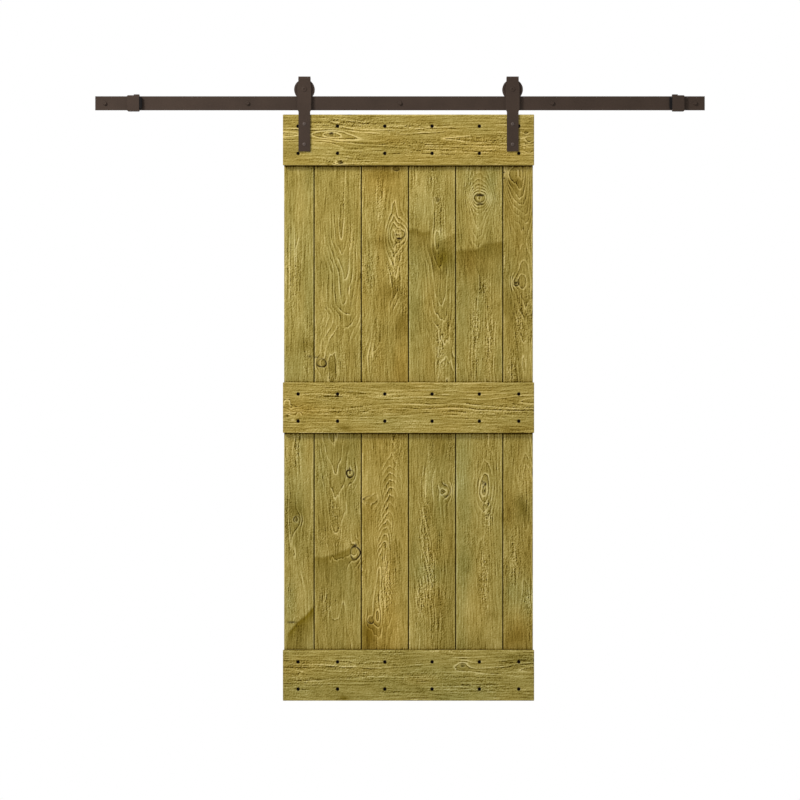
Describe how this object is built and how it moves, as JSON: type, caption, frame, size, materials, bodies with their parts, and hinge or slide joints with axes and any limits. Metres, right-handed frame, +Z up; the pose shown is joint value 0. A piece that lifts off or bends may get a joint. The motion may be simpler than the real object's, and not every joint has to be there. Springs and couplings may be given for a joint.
{
  "type": "sliding barn door",
  "caption": "Plank barn door with wide cross rails, hung by bent straps and grooved wheels on a flat wall track with end stops; the door slides along the track.",
  "frame": {"origin": "on the wall plane, behind the middle of the track at half its height", "axes": "+X to the right along the track, +Y into the wall, +Z up"},
  "size_m": [2.22, 0.1103, 2.2724],
  "materials": {
    "stained_plank": "satin",
    "stained_rail": "satin",
    "bronze_steel": "satin",
    "roller_steel": "satin",
    "dark_fastener": "satin",
    "bush_bronze": "satin",
    "rubber_pad": "matte"
  },
  "bodies": {
    "track": {"track_bar": "bronze_steel", "track_standoffs": "bronze_steel", "lag_screws": "bronze_steel", "stop_set_screws": "dark_fastener", "stop_block_left": "bronze_steel", "stop_block_right": "bronze_steel", "stop_bumper_left": "rubber_pad", "stop_bumper_right": "rubber_pad"},
    "door": {"strap_bolts": "bronze_steel", "strap_nuts": "dark_fastener", "axle_bolts": "bronze_steel", "axle_nuts": "dark_fastener", "axle_bushes": "bush_bronze", "plank_1": "stained_plank", "plank_2": "stained_plank", "plank_3": "stained_plank", "plank_4": "stained_plank", "plank_5": "stained_plank", "plank_6": "stained_plank", "rail_top": "stained_rail", "rail_middle": "stained_rail", "rail_bottom": "stained_rail", "rail_top_screws": "dark_fastener", "rail_middle_screws": "dark_fastener", "rail_bottom_screws": "dark_fastener", "hanger_strap_left": "bronze_steel", "hanger_strap_right": "bronze_steel"},
    "wheel_left": {"wheel_left": "roller_steel"},
    "wheel_right": {"wheel_right": "roller_steel"}
  },
  "joints": [
    {"name": "door_slide", "type": "slide", "parent": "track", "child": "door", "axis": [1, 0, 0], "range_m": [-0.564, 0.544]},
    {"name": "wheel_left_spin", "type": "hinge", "parent": "door", "child": "wheel_left", "pos_m": [-0.348, -0.04127, 0.0497], "axis": [0, 1, 0], "continuous": true},
    {"name": "wheel_right_spin", "type": "hinge", "parent": "door", "child": "wheel_right", "pos_m": [0.41, -0.04127, 0.0497], "axis": [0, 1, 0], "continuous": true}
  ],
  "couplings": [
    {"joint": "wheel_left_spin", "follows": "door_slide", "rad_per_m": 41.667},
    {"joint": "wheel_right_spin", "follows": "door_slide", "rad_per_m": 41.667}
  ]
}
